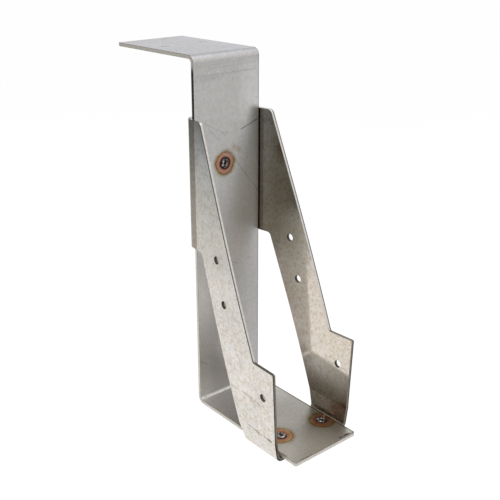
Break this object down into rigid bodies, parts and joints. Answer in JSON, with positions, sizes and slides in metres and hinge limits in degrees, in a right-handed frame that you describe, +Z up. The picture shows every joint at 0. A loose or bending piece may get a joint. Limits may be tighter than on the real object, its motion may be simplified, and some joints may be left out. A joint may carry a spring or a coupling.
{
  "type": "joist hanger",
  "caption": "Masonry joist hanger in bare sheet steel: a folded back strap with seat and top flange, and a folded stirrup with slanted side legs, welded together.",
  "frame": {"origin": "middle of the seat's top face, where the end of the joist bears", "axes": "+Z up, +Y back towards the wall, X across the joist; the open front of the hanger faces -Y"},
  "size_m": [0.0674, 0.1725, 0.2317],
  "materials": {
    "strap_steel": "matt rolled stainless sheet, faintly mottled",
    "stirrup_steel": "matt rolled stainless sheet, mottled and slightly stained",
    "weld_metal": "weld metal with heat tint"
  },
  "bodies": {
    "root": {"back_strap": "strap_steel", "side_stirrup": "stirrup_steel", "back_weld": "weld_metal", "seat_weld_left": "weld_metal", "seat_weld_right": "weld_metal"}
  },
  "joints": []
}
